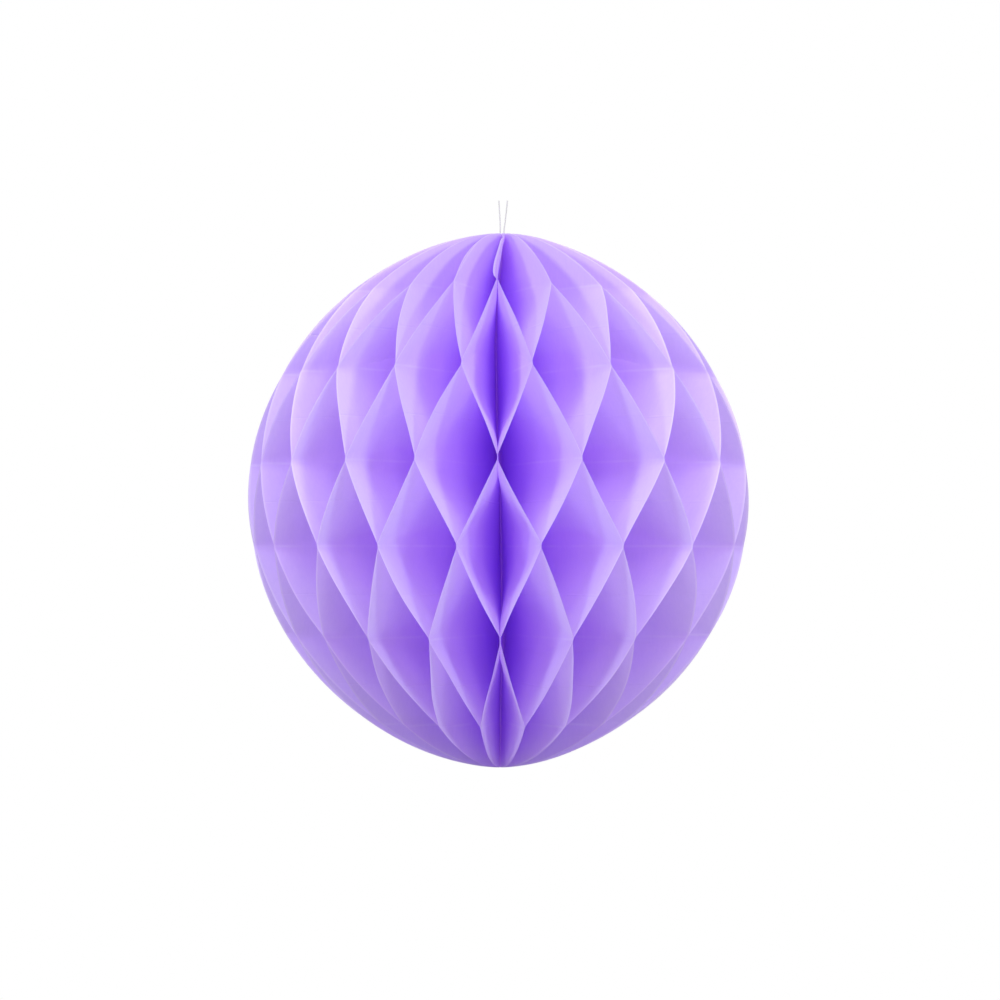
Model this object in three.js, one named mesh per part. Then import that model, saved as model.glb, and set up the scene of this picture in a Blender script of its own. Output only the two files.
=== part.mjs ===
// A honeycomb ball of tissue paper, hanging by a thread.
// Forty half-round leaves stand round an upright spine, glued to their neighbours along short
// level lines. The lines are staggered from row to row, so the opened leaves zigzag and leave
// tall diamond cells between them. Millimetres, +Z up the spine, the ball's centre at the origin.
// The front, where two leaves meet in the first row of glue lines, faces -Y.

import * as THREE from 'three';

// Ball
const ballHeight = 200;
const ballWidth = 187;
const outlinePower = 0.57; // 0.5 is an ellipse, and more draws the outline in towards the poles

// Leaves, an even number
const leafCount = 40;
const rimThickness = 0.3;
const spineBore = 5; // the clear way down the spine
const tipWidth = 1; // each leaf's short level edge at a pole
const spineShare = 0.5; // how much of the room round the bore is paper

// Glue lines
const glueRows = 6;
const glueRowPitch = 31.8;
const glueRowsMiddle = -2.5; // height of the middle of the six rows
const glueLineHeight = 3;
const glueGap = 0.3;

// The ball was opened by hand, so the leaves stand a little wider apart on one side
const wideSide = 78; // degrees from the front towards +X
const wideSideShift = 8.5; // the most that a leaf is turned from its regular place, in degrees
// The front cell above the top glue row was hardly opened at all
const shutShare = 0.85; // how much of its regular opening it lost

// Thread
const threadDiameter = 0.5;
const threadSides = 8;
const threadSteps = 64;
// One free end, down through the pole, round a bend in the spine and up to the other end
const threadRoute = [
  [0.2, 0.0, 112.6],
  [0.36, 0.0, 109.8],
  [0.52, 0.0, 106.8],
  [0.66, 0.0, 104.0],
  [0.72, 0.0, 101.6],
  [0.68, 0.0, 99.8],
  [0.61, 0.0, 97.5],
  [0.6, 0.0, 94.5],
  [0.6, 0.0, 91.6],
  [0.61, 0.0, 89.2],
  [0.7, 0.0, 88.64],
  [0.93, 0.0, 88.24],
  [1.25, 0.0, 88.1],
  [1.57, 0.0, 88.24],
  [1.8, 0.0, 88.64],
  [1.89, 0.0, 89.2],
  [1.9, 0.0, 91.6],
  [1.9, 0.0, 94.5],
  [1.9, 0.0, 97.5],
  [1.95, 0.0, 99.8],
  [2.14, 0.0, 101.6],
  [2.44, 0.0, 104.0],
  [2.78, 0.0, 106.8],
  [3.1, 0.0, 109.8],
  [3.4, 0.0, 112.6],
];

// Mesh resolution
const capSteps = 4; // from the last glue line to the pole
const runSteps = 2; // from one glue line to the next
const spanSteps = 2; // from the spine to the rim

const halfHeight = ballHeight / 2;
const equatorRadius = ballWidth / 2;
const boreRadius = spineBore / 2;
const toRadians = THREE.MathUtils.degToRad;

// The rim's distance from the spine, at one height
function rimRadius(height) {
  const share = height / halfHeight;
  return equatorRadius * (1 - share * share) ** outlinePower;
}

// The height at which the rim comes in to a given radius, near a pole
function heightOfRim(radius) {
  return halfHeight * Math.sqrt(1 - (radius / equatorRadius) ** (1 / outlinePower));
}

// A regular angle round the spine, moved to where the uneven opening puts it
function openedAngle(angle) {
  const wide = toRadians(wideSide);
  return angle + toRadians(wideSideShift) * (Math.sin(angle - wide) + Math.sin(wide));
}

const leafPitch = (2 * Math.PI) / leafCount;
// A leaf's own angle at the spine, where it has no zigzag; leaf 0 is the first past the front
const spineAngle = (leaf) => openedAngle((leaf + 0.5) * leafPitch);
// The plane in which a leaf is glued to the next one
const glueAngle = (leaf) => (spineAngle(leaf) + spineAngle(leaf + 1)) / 2;

// The paper thins towards the spine to fit round the bore where the leaves stand closest
const closestPitch = leafPitch - toRadians(wideSideShift) * leafPitch;
const spineThickness = spineShare * 2 * boreRadius * Math.sin(closestPitch / 2);

// Straight change from a value at the bore to a value at the widest rim
function fromSpineToRim(atSpine, atRim, radius) {
  return atSpine + ((atRim - atSpine) * (radius - boreRadius)) / (equatorRadius - boreRadius);
}

const glueRowHeights = Array.from(
  { length: glueRows },
  (_, row) => glueRowsMiddle + ((glueRows - 1) / 2 - row) * glueRowPitch
);

// Where a leaf lies between its two glue planes at a height: 1 in the plane towards the next
// leaf and -1 in the other, in straight runs between the glue lines and on towards the poles
function zigzag(height, firstSide) {
  const down = (glueRowHeights[0] - height) / glueRowPitch;
  const row = Math.min(Math.max(Math.round(down), 0), glueRows - 1);
  const side = row % 2 === 0 ? firstSide : -firstSide;
  const fromRow = Math.abs(glueRowHeights[row] - height) - glueLineHeight / 2;
  const run = glueRowPitch - glueLineHeight;
  return side * (1 - (2 * Math.max(fromRow, 0)) / run);
}

// The same for one leaf, with the shut cell at the front
function openedZigzag(leaf, height) {
  const firstSide = leaf % 2 === 0 ? -1 : 1;
  const regular = zigzag(height, firstSide);
  const besideFront = leaf === 0 || leaf === leafCount - 1;
  if (!besideFront || height < glueRowHeights[0]) {
    return regular;
  }
  return THREE.MathUtils.lerp(regular, firstSide, shutShare);
}

// Angle of the middle of the paper at one radius and height
function leafAngle(leaf, radius, height) {
  const own = spineAngle(leaf);
  const next = glueAngle(leaf);
  const last = glueAngle(leaf - 1);
  const rimOffset = (rimThickness + glueGap) / 2;
  const nextOffset = fromSpineToRim(boreRadius * Math.sin(next - own), rimOffset, radius);
  const lastOffset = fromSpineToRim(boreRadius * Math.sin(own - last), rimOffset, radius);
  const highest = next - Math.asin(nextOffset / radius);
  const lowest = last + Math.asin(lastOffset / radius);
  return THREE.MathUtils.lerp(lowest, highest, (1 + openedZigzag(leaf, height)) / 2);
}

// Heights of the rows of vertices: both edges of each glue line, the middles of the runs
// between them, and even turns round the outline up to each tip
function leafHeights() {
  const heights = [];
  const tipHeight = heightOfRim(boreRadius + tipWidth);
  const capHeights = (edge) => {
    const tipTurn = Math.asin(tipHeight / halfHeight);
    const edgeTurn = Math.asin(Math.abs(edge) / halfHeight);
    return Array.from({ length: capSteps }, (_, step) => {
      const turn = THREE.MathUtils.lerp(tipTurn, edgeTurn, step / capSteps);
      return Math.sign(edge) * halfHeight * Math.sin(turn);
    });
  };
  const topEdge = glueRowHeights[0] + glueLineHeight / 2;
  const bottomEdge = glueRowHeights[glueRows - 1] - glueLineHeight / 2;
  heights.push(...capHeights(topEdge));
  glueRowHeights.forEach((rowHeight, row) => {
    const upper = rowHeight + glueLineHeight / 2;
    const lower = rowHeight - glueLineHeight / 2;
    heights.push(upper, lower);
    if (row < glueRows - 1) {
      const nextUpper = upper - glueRowPitch;
      for (let step = 1; step < runSteps; step += 1) {
        heights.push(THREE.MathUtils.lerp(lower, nextUpper, step / runSteps));
      }
    }
  });
  heights.push(...capHeights(bottomEdge).reverse());
  return heights;
}

// One leaf as a closed thin body: a grid of vertices on each face, joined along all four edges
function leafGeometry(leaf) {
  const heights = leafHeights();
  const columns = spanSteps + 1;
  const positions = [];
  for (const face of [1, -1]) {
    for (const height of heights) {
      for (let column = 0; column < columns; column += 1) {
        const radius = THREE.MathUtils.lerp(boreRadius, rimRadius(height), column / spanSteps);
        const angle = leafAngle(leaf, radius, height);
        const offset = (face * fromSpineToRim(spineThickness, rimThickness, radius)) / 2;
        positions.push(
          radius * Math.sin(angle) + offset * Math.cos(angle),
          -radius * Math.cos(angle) + offset * Math.sin(angle),
          height
        );
      }
    }
  }

  const index = [];
  const at = (face, row, column) => (face * heights.length + row) * columns + column;
  const quad = (a, b, c, d) => index.push(a, b, c, a, c, d);
  const lastRow = heights.length - 1;
  const lastColumn = columns - 1;
  for (let row = 0; row < lastRow; row += 1) {
    for (let column = 0; column < lastColumn; column += 1) {
      quad(
        at(1, row, column),
        at(1, row + 1, column),
        at(1, row + 1, column + 1),
        at(1, row, column + 1)
      );
      quad(
        at(0, row, column),
        at(0, row, column + 1),
        at(0, row + 1, column + 1),
        at(0, row + 1, column)
      );
    }
    quad(at(0, row, 0), at(0, row + 1, 0), at(1, row + 1, 0), at(1, row, 0));
    quad(
      at(0, row, lastColumn),
      at(1, row, lastColumn),
      at(1, row + 1, lastColumn),
      at(0, row + 1, lastColumn)
    );
  }
  for (let column = 0; column < lastColumn; column += 1) {
    quad(at(0, 0, column), at(1, 0, column), at(1, 0, column + 1), at(0, 0, column + 1));
    quad(
      at(0, lastRow, column),
      at(0, lastRow, column + 1),
      at(1, lastRow, column + 1),
      at(1, lastRow, column)
    );
  }

  const geometry = new THREE.BufferGeometry();
  geometry.setAttribute('position', new THREE.Float32BufferAttribute(positions, 3));
  geometry.setIndex(index);
  geometry.computeVertexNormals();
  return geometry;
}

// A round thread along its route
function threadGeometry() {
  const section = new THREE.Shape();
  section.absarc(0, 0, threadDiameter / 2, 0, 2 * Math.PI, false);
  const route = new THREE.CatmullRomCurve3(
    threadRoute.map((point) => new THREE.Vector3(...point))
  );
  return new THREE.ExtrudeGeometry(section, {
    curveSegments: threadSides / 2, // a full circle takes two points for each
    steps: threadSteps,
    bevelEnabled: false,
    extrudePath: route,
  });
}

const violetTissue = () =>
  new THREE.MeshStandardMaterial({
    color: 0xb08cf6,
    roughness: 0.9,
    metalness: 0,
    flatShading: true,
  });

const paleThread = () =>
  new THREE.MeshStandardMaterial({ color: 0xe2e2e0, roughness: 0.8, metalness: 0 });

const ball = new THREE.Group();

for (let leaf = 0; leaf < leafCount; leaf += 1) {
  const mesh = new THREE.Mesh(leafGeometry(leaf), violetTissue());
  mesh.name = `leaf_${String(leaf + 1).padStart(2, '0')}`;
  ball.add(mesh);
}

const thread = new THREE.Mesh(threadGeometry(), paleThread());
thread.name = 'hanging_thread';
ball.add(thread);

export default ball;
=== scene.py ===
import math
import random

import bpy
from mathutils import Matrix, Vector, noise


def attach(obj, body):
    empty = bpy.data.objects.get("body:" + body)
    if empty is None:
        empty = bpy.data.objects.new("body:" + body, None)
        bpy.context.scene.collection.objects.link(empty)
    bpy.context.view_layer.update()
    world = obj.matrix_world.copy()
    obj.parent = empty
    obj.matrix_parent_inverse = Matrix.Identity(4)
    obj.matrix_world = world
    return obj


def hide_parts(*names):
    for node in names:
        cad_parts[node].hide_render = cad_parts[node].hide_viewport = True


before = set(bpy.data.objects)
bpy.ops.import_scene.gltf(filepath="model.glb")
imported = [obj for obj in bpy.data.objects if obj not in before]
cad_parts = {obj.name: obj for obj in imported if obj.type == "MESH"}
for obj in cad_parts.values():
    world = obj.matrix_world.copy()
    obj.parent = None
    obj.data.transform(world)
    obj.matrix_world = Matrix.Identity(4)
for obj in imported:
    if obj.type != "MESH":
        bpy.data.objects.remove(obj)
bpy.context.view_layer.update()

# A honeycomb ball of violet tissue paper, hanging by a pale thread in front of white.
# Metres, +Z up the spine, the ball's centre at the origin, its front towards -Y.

random.seed(20)

# The photograph's camera
CAMERA_DISTANCE = 0.998
CAMERA_HEIGHT = -0.0218
CAMERA_NEAR = 0.01
FOCAL_MM = 95.8
SENSOR_MM = 36.0
AIM = Vector((0.0006, 0.0, 0.0))

# The ball, from the solids
HALF_HEIGHT = 0.100
EQUATOR_RADIUS = 0.0935
OUTLINE_POWER = 0.57
LEAVES = 40
TIP_RADIUS = 0.003

# Glue lines
ROW_HEIGHTS = [0.0765, 0.0457, 0.0126, -0.0175, -0.0501, -0.0825]
ROW_PITCH = 0.0318
GLUE_HEIGHT = 0.0016
GLUE_OFFSET = 0.00006
GLUE_OFFSET_SHARE = 0.9
BEND_SOFTNESS = 0.05
# Away from the rim the leaves part from each other more slowly past a glue line
INNER_GLUE_HEIGHT = 0.009
INNER_SOFTNESS = 0.8
INNER_DEPTH = 0.03

# Uneven opening, in degrees
WIDE_SIDE = 78.0
WIDE_SIDE_SHIFT = 8.5
LOOSE_TURN = 0.5
# How far the glue lines of the front half lie from their regular places, in degrees,
# for each row and each glue plane counted from the front towards +X
FRONT_TURNS = [
    {-4: 2.0, -2: 1.8, 0: -0.5, 2: 0.3, 4: 1.7},
    {-5: -0.2, -3: 0.8, -1: 0.2, 1: -1.1, 3: 0.0, 5: 0.8},
    {-6: -0.3, -4: 0.5, -2: 0.1, 0: -0.2, 2: -0.9, 4: 0.0, 6: 0.0},
    {-7: -1.0, -5: 0.1, -3: 0.0, -1: 0.2, 1: -0.2, 3: -0.7, 5: -0.5},
    {-6: 0.5, -4: 0.3, -2: 0.5, 0: 0.5, 2: 0.1, 4: -1.3, 6: 0.3},
    {-3: 1.6, -1: 1.7, 1: 1.6, 3: 0.4, 5: 1.2},
]
# How far some of them lie above their row, in metres, by row and plane
FRONT_LIFTS = {(0, -2): 0.0008, (0, 0): 0.0016}

# How far the spine sways towards +X, by height, and how far out the leaves follow it
SPINE_SWAY = [
    (0.100, 0.0016),
    (0.092, 0.0008),
    (0.079, -0.0004),
    (0.058, -0.0009),
    (0.022, -0.0004),
    (0.007, 0.0007),
    (-0.037, 0.0012),
    (-0.052, 0.0014),
    (-0.080, 0.0008),
    (-0.100, 0.0006),
]
SWAY_RADIUS = 0.025

# Leaves that are glued together in the first and last rows stay together up to the poles
SHUT_SHARE = 0.93
SHUT_SPREAD = 0.03
# The pair at the front leans to the right above the top row, by this many degrees at the pole
SHUT_LEAN = 7.2
SHUT_LEAN_HEIGHTS = (0.082, 0.0995)
SHUT_LEAN_POWER = 1.5
# The left leaf of that pair curls at its rim: how far, how deep, and where it starts and ends
CURL = 0.0014
CURL_DEPTH = 0.006
CURL_POWER = 1.5
CURL_START = (0.0770, 0.0795)
CURL_END = (0.0940, 0.0990)

# How far the leaves bow out between their glue lines, in degrees
BOW_TURN = 0.5
# Slight waves of the paper between its glue lines, other ones on each leaf
WAVE = 0.0006
WAVES_PER_METRE = 38.0
WAVE_LEAF_STEP = 9.7

# Rows and columns of each leaf's mesh
CAP_STEPS = 26
GLUE_STEPS = 2
RUN_STEPS = 18
SPAN_STEPS = 20
SPINE_RADIUS = 0.0022
HOLD_RADIUS = 0.003

# The tissue's colours: thrown back where the fibre is light or dark, spread behind the paper,
# straight through it, the painted highlights on the rims and the creases, and the painted shade
# deep inside towards the spine
TISSUE = (0.745, 0.64, 0.985)
TISSUE_DARK = (0.685, 0.585, 0.965)
BACK_TINT = (0.96, 0.93, 1.0)
THROUGH = (0.92, 0.69, 0.985)
RIM_HIGHLIGHT = (0.90, 0.87, 1.0)
CREASE_HIGHLIGHT = (0.82, 0.79, 1.0)
PAINTED_SHADE = (0.56, 0.31, 0.97)

# Where those colours lie, in metres from the rim, a row of glue lines or the spine, and how
# strong they are from the nearer to the farther end
RIM_HIGHLIGHT_BAND = (0.0002, 0.0009)
RIM_HIGHLIGHT_STRENGTH = (0.45, 0.0)
CREASE_HIGHLIGHT_BAND = (0.0001, 0.0007)
CREASE_HIGHLIGHT_STRENGTH = (0.45, 0.0)
PAINTED_SHADE_BAND = (0.0025, 0.040)
PAINTED_SHADE_STRENGTH = (0.8, 0.0)
INSIDE_BAND = (0.01, 0.06)
# The values of the paper's clouds between which a crease's painted highlight comes back
CREASE_HIGHLIGHT_GAPS = (0.35, 0.65)
NONE_TO_ALL = (0.0, 1.0)

# The share of the light that the paper spreads behind it, and the shares that go straight
# through it: from the soaked paper outwards, and for what the camera sees through it
SPREAD_SHARE = 0.25
THROUGH_BAND = (0.0025, 0.018)
SOAKED_SHARE = 0.75
THROUGH_SHARE = 0.62
SEEN_THROUGH_SHARE = 0.08

# Grain and relief of the tissue
GRAIN_STRETCH = (1.0, 1.0, 0.3)
FIBRE_SCALE = 900.0
FIBRE_DETAIL = 3.0
PUCKER_SCALE = 260.0
PUCKER_DETAIL = 1.0
PUCKER_BAND = (0.001, 0.007)
PUCKER_STRENGTH = (0.5, 0.06)
CLOUD_SCALE = 60.0
CLOUD_DETAIL = 2.0
RELIEF_STRENGTH = 0.5
RELIEF_DEPTH = 0.0004
TISSUE_ROUGHNESS = 0.85
TISSUE_SPECULAR = 0.05
TISSUE_SHEEN = 0.05

# The thread's route in millimetres, as in the solids
THREAD_DIAMETER = 0.0005
THREAD_ROUTE_MM = [
    (0.2, 0.0, 112.6),
    (0.36, 0.0, 109.8),
    (0.52, 0.0, 106.8),
    (0.66, 0.0, 104.0),
    (0.72, 0.0, 101.6),
    (0.68, 0.0, 99.8),
    (0.61, 0.0, 97.5),
    (0.6, 0.0, 94.5),
    (0.6, 0.0, 91.6),
    (0.61, 0.0, 89.2),
    (0.7, 0.0, 88.64),
    (0.93, 0.0, 88.24),
    (1.25, 0.0, 88.1),
    (1.57, 0.0, 88.24),
    (1.8, 0.0, 88.64),
    (1.89, 0.0, 89.2),
    (1.9, 0.0, 91.6),
    (1.9, 0.0, 94.5),
    (1.9, 0.0, 97.5),
    (1.95, 0.0, 99.8),
    (2.14, 0.0, 101.6),
    (2.44, 0.0, 104.0),
    (2.78, 0.0, 106.8),
    (3.1, 0.0, 109.8),
    (3.4, 0.0, 112.6),
]
THREAD_SIDE_STEPS = 3
THREAD_LENGTH_STEPS = 6
THREAD = (0.62, 0.62, 0.62)
THREAD_SHADE = 0.93
THREAD_ROUGHNESS = 0.75
TWIST_SCALE = 900.0
TWIST_DISTORTION = 1.5
TWIST_STRENGTH = 0.4
TWIST_DEPTH = 0.00006

# Studio
WHITE = (1.0, 1.0, 1.0)
BACKDROP = 1.0
SURROUND = 0.20
LAMP_DISTANCE = 1.6
# Name, turn from the front and height in degrees, size and power; each stands on both sides
LAMPS = [
    ("top_soft_box", 42.0, 56.0, 0.5, 10.3),
    ("front_soft_box", 37.0, 14.0, 0.22, 10.2),
    ("back_soft_box", 140.0, 20.0, 0.60, 3.6),
]
FLOOR = (0.8, 0.8, 0.8)
FLOOR_ROUGHNESS = 0.9
FLOOR_HEIGHT = -1.1
FLOOR_SIZE = 5.0
# Light crosses many leaves on its way through the ball
BOUNCES = 24
STRAIGHT_BOUNCES = 16


def add_object(name, data):
    piece = bpy.data.objects.new(name, data)
    bpy.context.scene.collection.objects.link(piece)
    return piece


def make_camera():
    data = bpy.data.cameras.new("camera")
    data.sensor_width = SENSOR_MM
    data.lens = FOCAL_MM
    data.clip_start = CAMERA_NEAR
    camera = add_object("camera", data)
    camera.location = (AIM.x, -CAMERA_DISTANCE, CAMERA_HEIGHT)
    camera.rotation_euler = (AIM - camera.location).to_track_quat("-Z", "Y").to_euler()
    bpy.context.scene.camera = camera


# Materials


def new_material(name):
    material = bpy.data.materials.new(name)
    material.use_nodes = True
    material.node_tree.nodes.clear()
    return material, material.node_tree


def add_node(tree, kind, inputs=None, **settings):
    """A new shader node. Each of its inputs is a value, or the socket that feeds it."""
    node = tree.nodes.new("ShaderNode" + kind)
    for name, value in settings.items():
        setattr(node, name, value)
    for name, value in (inputs or {}).items():
        if isinstance(value, bpy.types.NodeSocket):
            tree.links.new(value, node.inputs[name])
        else:
            node.inputs[name].default_value = value
    return node


def opaque(colour, strength=1.0):
    return (*[strength * part for part in colour], 1.0)


def noise_pattern(tree, place, scale, detail):
    inputs = {"Vector": place, "Scale": scale, "Detail": detail}
    return add_node(tree, "TexNoise", inputs).outputs["Fac"]


def band(tree, value, reach, strength):
    """Goes from the first strength to the second while the value crosses the reach."""
    inputs = {
        "Value": value,
        "From Min": reach[0],
        "From Max": reach[1],
        "To Min": strength[0],
        "To Max": strength[1],
    }
    return add_node(tree, "MapRange", inputs).outputs["Result"]


def calculate(tree, operation, *values):
    inputs = dict(enumerate(values))
    return add_node(tree, "Math", inputs, operation=operation).outputs["Value"]


def mix_colours(tree, factor, first, second, **settings):
    inputs = {"Factor": factor, "A": first, "B": second}
    return add_node(tree, "Mix", inputs, data_type="RGBA", **settings).outputs["Result"]


def mix_shaders(tree, factor, first, second):
    inputs = {"Fac": factor, 1: first, 2: second}
    return add_node(tree, "MixShader", inputs).outputs["Shader"]


def vertex_value(tree, name):
    return add_node(tree, "Attribute", attribute_name=name).outputs["Fac"]


def thread_material():
    material, tree = new_material("pale_thread")
    place = add_node(tree, "TexCoord").outputs["Object"]
    inputs = {"Vector": place, "Scale": TWIST_SCALE, "Distortion": TWIST_DISTORTION}
    twist = add_node(tree, "TexWave", inputs, bands_direction="DIAGONAL").outputs["Fac"]
    tint = mix_colours(tree, twist, opaque(THREAD, THREAD_SHADE), opaque(THREAD))
    inputs = {"Height": twist, "Strength": TWIST_STRENGTH, "Distance": TWIST_DEPTH}
    bump = add_node(tree, "Bump", inputs).outputs["Normal"]
    inputs = {"Base Color": tint, "Normal": bump, "Roughness": THREAD_ROUGHNESS}
    shader = add_node(tree, "BsdfPrincipled", inputs).outputs["BSDF"]
    add_node(tree, "OutputMaterial", {"Surface": shader})
    return material


def tissue_paper(tree):
    """The paper itself, which throws light back and spreads some of it behind."""
    place = add_node(tree, "TexCoord").outputs["Object"]
    inputs = {"Vector": place, "Scale": GRAIN_STRETCH}
    upright = add_node(tree, "Mapping", inputs).outputs["Vector"]
    fibre = noise_pattern(tree, upright, FIBRE_SCALE, FIBRE_DETAIL)
    pucker = noise_pattern(tree, upright, PUCKER_SCALE, PUCKER_DETAIL)
    cloud = noise_pattern(tree, place, CLOUD_SCALE, CLOUD_DETAIL)
    from_rim = vertex_value(tree, "rim_distance")
    from_row = calculate(tree, "ABSOLUTE", vertex_value(tree, "row_distance"))
    from_spine = vertex_value(tree, "spine_distance")

    colour = mix_colours(tree, fibre, opaque(TISSUE_DARK), opaque(TISSUE))
    # Painted highlight: the paper is painted lighter within a millimetre of its rims
    rim = band(tree, from_rim, RIM_HIGHLIGHT_BAND, RIM_HIGHLIGHT_STRENGTH)
    colour = mix_colours(tree, rim, colour, opaque(RIM_HIGHLIGHT))
    # Painted highlight: thin lighter lines along the creases at the glue rows, fading in and out
    # along their lines
    crease_highlight = band(tree, from_row, CREASE_HIGHLIGHT_BAND, CREASE_HIGHLIGHT_STRENGTH)
    crease_highlight = calculate(tree, "MULTIPLY", crease_highlight, band(tree, cloud, CREASE_HIGHLIGHT_GAPS, NONE_TO_ALL))
    colour = mix_colours(tree, crease_highlight, colour, opaque(CREASE_HIGHLIGHT))
    # Painted shade: the paper is painted deeper and darker inside the cells, towards the spine,
    # fading out near the rims
    soaked = band(tree, from_spine, PAINTED_SHADE_BAND, PAINTED_SHADE_STRENGTH)
    soaked = calculate(tree, "MULTIPLY", soaked, band(tree, from_rim, INSIDE_BAND, NONE_TO_ALL))
    colour = mix_colours(tree, soaked, colour, opaque(PAINTED_SHADE))
    # Light that comes through the paper is deeper in colour than light that it throws back
    behind = mix_colours(tree, 1.0, colour, opaque(BACK_TINT), blend_type="MULTIPLY")

    # Small upright puckers beside the glue lines, over the paper's slight clouds
    puckered = band(tree, from_row, PUCKER_BAND, PUCKER_STRENGTH)
    relief = calculate(tree, "MULTIPLY_ADD", pucker, puckered, cloud)
    inputs = {"Height": relief, "Strength": RELIEF_STRENGTH, "Distance": RELIEF_DEPTH}
    bump = add_node(tree, "Bump", inputs).outputs["Normal"]

    inputs = {
        "Base Color": colour,
        "Normal": bump,
        "Roughness": TISSUE_ROUGHNESS,
        "Specular IOR Level": TISSUE_SPECULAR,
        "Sheen Weight": TISSUE_SHEEN,
    }
    front = add_node(tree, "BsdfPrincipled", inputs).outputs["BSDF"]
    inputs = {"Color": behind, "Normal": bump}
    back = add_node(tree, "BsdfTranslucent", inputs).outputs["BSDF"]
    return mix_shaders(tree, SPREAD_SHARE, front, back)


def tissue_material():
    material, tree = new_material("violet_tissue")
    paper = tissue_paper(tree)
    # Tissue lets much of the light straight through from one cell into the next
    path = add_node(tree, "LightPath")
    shadow = path.outputs["Is Shadow Ray"]
    tint = mix_colours(tree, shadow, opaque(THROUGH), opaque(THROUGH, THROUGH_SHARE))
    through = add_node(tree, "BsdfTransparent", {"Color": tint}).outputs["BSDF"]
    from_spine = vertex_value(tree, "spine_distance")
    share = band(tree, from_spine, THROUGH_BAND, (SOAKED_SHARE, THROUGH_SHARE))
    seen = path.outputs["Is Camera Ray"]
    share = band(tree, seen, NONE_TO_ALL, (share, SEEN_THROUGH_SHARE))
    # A shadow takes its whole depth from the tint
    share = calculate(tree, "MAXIMUM", shadow, share)
    sheet = mix_shaders(tree, share, paper, through)
    add_node(tree, "OutputMaterial", {"Surface": sheet})
    return material


def floor_material():
    material, tree = new_material("pale_floor")
    inputs = {"Base Color": opaque(FLOOR), "Roughness": FLOOR_ROUGHNESS}
    shader = add_node(tree, "BsdfPrincipled", inputs).outputs["BSDF"]
    add_node(tree, "OutputMaterial", {"Surface": shader})
    return material


# The thread


def make_thread():
    route = [Vector(point) / 1000 for point in THREAD_ROUTE_MM]
    data = bpy.data.curves.new("thread", "CURVE")
    data.dimensions = "3D"
    data.bevel_depth = THREAD_DIAMETER / 2
    data.bevel_resolution = THREAD_SIDE_STEPS
    data.use_fill_caps = True
    data.resolution_u = THREAD_LENGTH_STEPS
    spline = data.splines.new("BEZIER")
    spline.bezier_points.add(len(route) - 1)
    for knot, point in zip(spline.bezier_points, route):
        knot.co = point
        knot.handle_left_type = "AUTO"
        knot.handle_right_type = "AUTO"
    data.materials.append(thread_material())
    thread = add_object("thread", data)
    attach(thread, "root")
    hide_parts("hanging_thread")


# The leaves


def rim_radius(height):
    share = min(abs(height) / HALF_HEIGHT, 1.0)
    return EQUATOR_RADIUS * (1 - share * share) ** OUTLINE_POWER


def height_of_rim(radius):
    return HALF_HEIGHT * math.sqrt(1 - (radius / EQUATOR_RADIUS) ** (1 / OUTLINE_POWER))


def regular_angle(plane):
    """The angle of a plane between two leaves, with half numbers for the leaves themselves."""
    angle = plane * 2 * math.pi / LEAVES
    wide = math.radians(WIDE_SIDE)
    return angle + math.radians(WIDE_SIDE_SHIFT) * (math.sin(angle - wide) + math.sin(wide))


def glue_angle(plane):
    return (regular_angle(plane - 0.5) + regular_angle(plane + 0.5)) / 2


def glue_line_turns():
    """How far each glue line has turned from its plane, in radians, by row and plane.

    There is one more row past each end of the real ones.
    """
    turns = []
    for row in range(-1, len(ROW_HEIGHTS) + 1):
        loose = {}
        for plane in range(LEAVES):
            loose[plane] = math.radians(random.uniform(-LOOSE_TURN, LOOSE_TURN))
        if 0 <= row < len(ROW_HEIGHTS):
            for plane, turn in FRONT_TURNS[row].items():
                loose[plane % LEAVES] = math.radians(turn)
        turns.append(loose)
    return turns


GLUE_TURNS = glue_line_turns()


def smooth(low, high, value):
    share = min(max((value - low) / (high - low), 0.0), 1.0)
    return share * share * (3 - 2 * share)


def spine_sway(height):
    for upper, lower in zip(SPINE_SWAY, SPINE_SWAY[1:]):
        if height >= lower[0]:
            break
    return lower[1] + (upper[1] - lower[1]) * smooth(lower[0], upper[0], height)


def row_height(row):
    """The height of a row of glue lines, or of the one more row past each end."""
    if row < 0:
        return ROW_HEIGHTS[0] + ROW_PITCH
    if row >= len(ROW_HEIGHTS):
        return ROW_HEIGHTS[-1] - ROW_PITCH
    return ROW_HEIGHTS[row]


def leaf_knots(leaf):
    """Height, plane angle and side of each glue line that holds a leaf, from the top down.

    One more knot past each end carries the zigzag on towards the poles.
    """
    knots = []
    for row in range(-1, len(ROW_HEIGHTS) + 1):
        height = row_height(row)
        plane = leaf if (leaf + row) % 2 == 0 else leaf + 1
        side = 1 if plane == leaf else -1
        angle = glue_angle(plane) + GLUE_TURNS[row + 1][plane % LEAVES]
        for (lift_row, lift_plane), lift in FRONT_LIFTS.items():
            if row == lift_row and (plane - lift_plane) % LEAVES == 0:
                height += lift
        knots.append((height, angle, side))
    for end, glued in ((0, 1), (-1, -2)):
        height, angle, side = knots[end]
        shut = SHUT_SHARE + random.uniform(-SHUT_SPREAD, SHUT_SPREAD)
        knots[end] = (height, angle + (knots[glued][1] - angle) * shut, side)
    return knots


def glued_angle(knot, radius, half_pitch):
    """Angle of the paper at one radius where it is glued, just off its glue plane."""
    _, plane_angle, side = knot
    offset = min(math.asin(min(GLUE_OFFSET / radius, 1.0)), GLUE_OFFSET_SHARE * half_pitch)
    return plane_angle + side * offset


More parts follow.
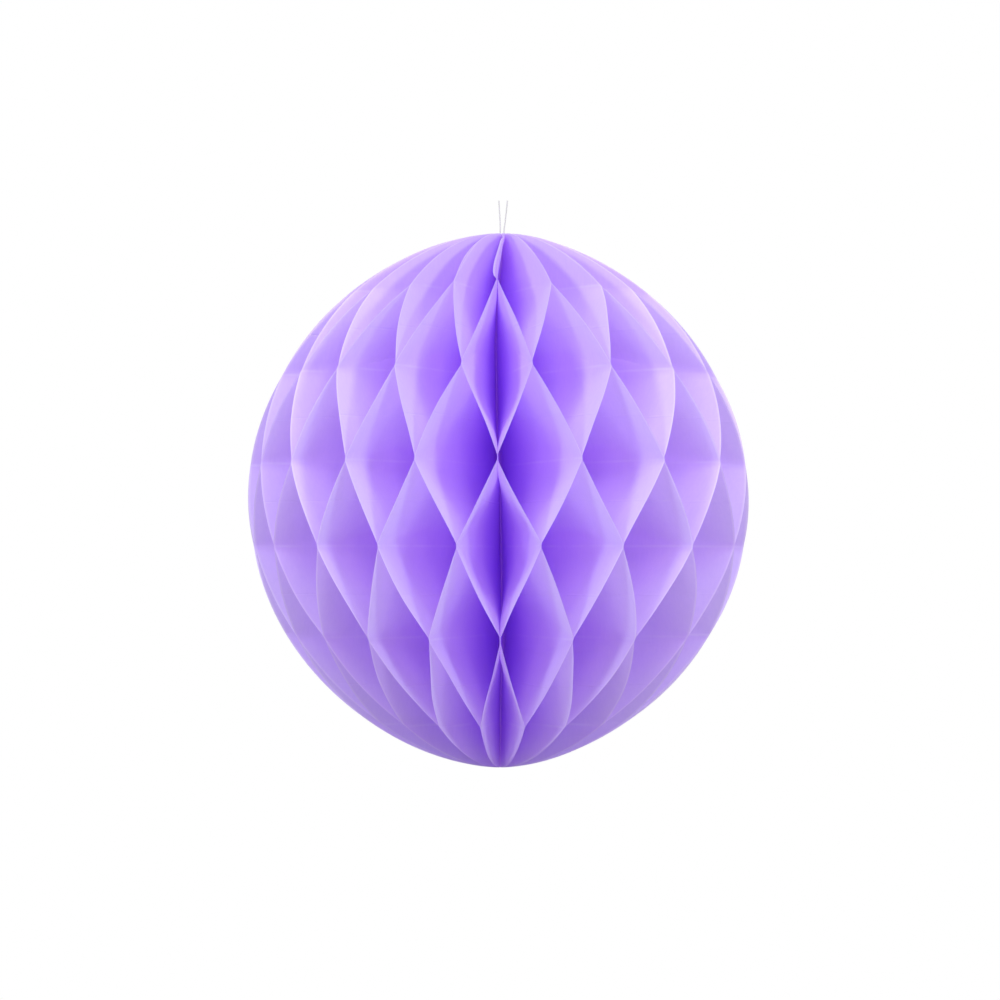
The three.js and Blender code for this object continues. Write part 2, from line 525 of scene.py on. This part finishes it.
def along_run(height, upper, lower, depth):
    """How far a height is from one glue line's run to the next, 0 to 1, with soft bends."""
    inner = smooth(0.0, INNER_DEPTH, depth)
    held = GLUE_HEIGHT + (INNER_GLUE_HEIGHT - GLUE_HEIGHT) * inner
    softness = BEND_SOFTNESS + (INNER_SOFTNESS - BEND_SOFTNESS) * inner
    start = upper[0] - held / 2
    end = lower[0] + held / 2
    share = min(max((start - height) / (start - end), 0.0), 1.0)
    soft = share * share * (3 - 2 * share)
    return share + (soft - share) * softness


def shut_cell_turn(leaf, radius, rim, height):
    """The extra turn of the two leaves beside the hardly opened cell, at the top of the front."""
    if leaf not in (0, LEAVES - 1) or height < CURL_START[0]:
        return 0.0
    low, high = SHUT_LEAN_HEIGHTS
    rise = max(height - low, 0.0) / (high - low)
    turn = math.radians(SHUT_LEAN) * rise**SHUT_LEAN_POWER
    if leaf == LEAVES - 1:
        curled = smooth(*CURL_START, height) * (1 - smooth(*CURL_END, height))
        near_rim = max(1 - (rim - radius) / CURL_DEPTH, 0.0)
        turn -= CURL * curled * near_rim**CURL_POWER / radius
    return turn


def leaf_angle(leaf, knots, bows, radius, rim, height):
    """The angle round the spine at which a leaf stands, at one radius and height."""
    own = regular_angle(leaf + 0.5)
    half_pitch = math.pi / LEAVES
    for upper, lower, bow in zip(knots, knots[1:], bows):
        if height >= lower[0]:
            break
    first = glued_angle(upper, radius, half_pitch)
    second = glued_angle(lower, radius, half_pitch)
    share = along_run(height, upper, lower, rim - radius)
    # The rim runs straight from one glue line to the next, although the outline bulges
    upper_weight = 1 - share
    lower_weight = share
    if abs(upper[0]) < HALF_HEIGHT and abs(lower[0]) < HALF_HEIGHT:
        upper_weight *= rim_radius(upper[0]) / rim
        lower_weight *= rim_radius(lower[0]) / rim
    angle = own + (first - own) * upper_weight + (second - own) * lower_weight
    angle += bow * math.sin(math.pi * share) * radius / rim
    angle += shut_cell_turn(leaf, radius, rim, height)
    place = Vector((WAVE_LEAF_STEP * leaf, WAVES_PER_METRE * radius, WAVES_PER_METRE * height))
    angle += WAVE * noise.noise(place) * math.sin(math.pi * share) * radius / rim**2
    # The leaves run together evenly at the spine
    hold = 1 - math.exp(-(((radius - SPINE_RADIUS) / HOLD_RADIUS) ** 2))
    return own + (angle - own) * hold


def steps_between(start, end, count):
    return [start + (end - start) * step / count for step in range(count)]


def leaf_heights():
    """Heights of the rows of vertices, from the top tip down.

    The edges of every glue line have a row of vertices each.
    """
    half_glue = GLUE_HEIGHT / 2
    tip = math.asin(height_of_rim(TIP_RADIUS) / HALF_HEIGHT)
    top = math.asin((ROW_HEIGHTS[0] + half_glue) / HALF_HEIGHT)
    bottom = math.asin((ROW_HEIGHTS[-1] - half_glue) / HALF_HEIGHT)
    heights = [HALF_HEIGHT * math.sin(turn) for turn in steps_between(tip, top, CAP_STEPS)]
    for row, lower_row in zip(ROW_HEIGHTS, ROW_HEIGHTS[1:]):
        heights += steps_between(row + half_glue, row - half_glue, GLUE_STEPS)
        heights += steps_between(row - half_glue, lower_row + half_glue, RUN_STEPS)
    last = ROW_HEIGHTS[-1]
    heights += steps_between(last + half_glue, last - half_glue, GLUE_STEPS)
    heights += [HALF_HEIGHT * math.sin(turn) for turn in steps_between(bottom, -tip, CAP_STEPS)]
    heights.append(-HALF_HEIGHT * math.sin(tip))
    return heights


def leaf_points(leaf, heights):
    """The points of a leaf, row by row, and each one's distances, which its colours go by."""
    knots = leaf_knots(leaf)
    bows = [math.radians(random.uniform(-BOW_TURN, BOW_TURN)) for _ in knots[1:]]
    points = []
    distances = {"rim_distance": [], "spine_distance": [], "row_distance": []}
    for height in heights:
        rim = rim_radius(height)
        sway = spine_sway(height)
        from_row = min((height - row for row in ROW_HEIGHTS), key=abs)
        # The first column closes the spine towards the leaf before
        places = [(SPINE_RADIUS, regular_angle(leaf - 0.5))]
        for step in range(SPAN_STEPS + 1):
            radius = SPINE_RADIUS + (rim - SPINE_RADIUS) * step / SPAN_STEPS
            places.append((radius, leaf_angle(leaf, knots, bows, radius, rim, height)))
        for radius, angle in places:
            shift = sway * math.exp(-((radius / SWAY_RADIUS) ** 2))
            points.append((radius * math.sin(angle) + shift, -radius * math.cos(angle), height))
            distances["rim_distance"].append(rim - radius)
            distances["spine_distance"].append(radius)
            distances["row_distance"].append(from_row)
    return points, distances


def grid_faces(rows, columns):
    faces = []
    for row in range(rows - 1):
        for column in range(columns - 1):
            corner = row * columns + column
            faces.append((corner, corner + columns, corner + columns + 1, corner + 1))
    return faces


def make_leaf(leaf, material):
    heights = leaf_heights()
    points, distances = leaf_points(leaf, heights)
    name = f"tissue_leaf_{leaf + 1:02d}"
    mesh = bpy.data.meshes.new(name)
    mesh.from_pydata(points, [], grid_faces(len(heights), SPAN_STEPS + 2))
    mesh.shade_smooth()
    for label, values in distances.items():
        layer = mesh.attributes.new(label, "FLOAT", "POINT")
        layer.data.foreach_set("value", values)
    mesh.materials.append(material)
    piece = add_object(name, mesh)
    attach(piece, "root")
    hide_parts(f"leaf_{leaf + 1:02d}")


# The studio


def make_world():
    """Plain white behind the ball, and a weaker even light from all round."""
    world = bpy.data.worlds.new("studio")
    world.use_nodes = True
    bpy.context.scene.world = world
    tree = world.node_tree
    tree.nodes.clear()
    inputs = {"Color": opaque(WHITE), "Strength": BACKDROP}
    seen = add_node(tree, "Background", inputs).outputs["Background"]
    inputs = {"Color": opaque(WHITE), "Strength": SURROUND}
    around = add_node(tree, "Background", inputs).outputs["Background"]
    path = add_node(tree, "LightPath").outputs
    direct = calculate(tree, "MAXIMUM", path["Is Camera Ray"], path["Is Glossy Ray"])
    direct = calculate(tree, "MAXIMUM", direct, path["Is Transmission Ray"])
    add_node(tree, "OutputWorld", {"Surface": mix_shaders(tree, direct, around, seen)})


def add_lamp(name, place, size, power):
    data = bpy.data.lights.new(name, "AREA")
    data.shape = "SQUARE"
    data.size = size
    data.energy = power
    lamp = add_object(name, data)
    lamp.location = place
    lamp.rotation_euler = (-place).to_track_quat("-Z", "Y").to_euler()


def make_lamps():
    for name, turn, rise, size, power in LAMPS:
        for side in (-1, 1):
            turned = side * math.radians(turn)
            level = math.cos(math.radians(rise))
            place = LAMP_DISTANCE * Vector(
                (level * math.sin(turned), -level * math.cos(turned), math.sin(math.radians(rise)))
            )
            add_lamp(name, place, size, power)


def make_floor():
    side = FLOOR_SIZE / 2
    corners = [(-side, -side), (side, -side), (side, side), (-side, side)]
    mesh = bpy.data.meshes.new("floor")
    mesh.from_pydata([(x, y, FLOOR_HEIGHT) for x, y in corners], [], [(0, 1, 2, 3)])
    mesh.materials.append(floor_material())
    add_object("floor", mesh)


def set_bounces():
    cycles = bpy.context.scene.cycles
    cycles.max_bounces = BOUNCES
    cycles.diffuse_bounces = BOUNCES
    cycles.transmission_bounces = BOUNCES
    cycles.transparent_max_bounces = STRAIGHT_BOUNCES


make_camera()
make_thread()
make_world()
make_lamps()
make_floor()
set_bounces()
tissue = tissue_material()
for leaf_number in range(LEAVES):
    make_leaf(leaf_number, tissue)
bpy.context.scene.view_settings.view_transform = "Standard"
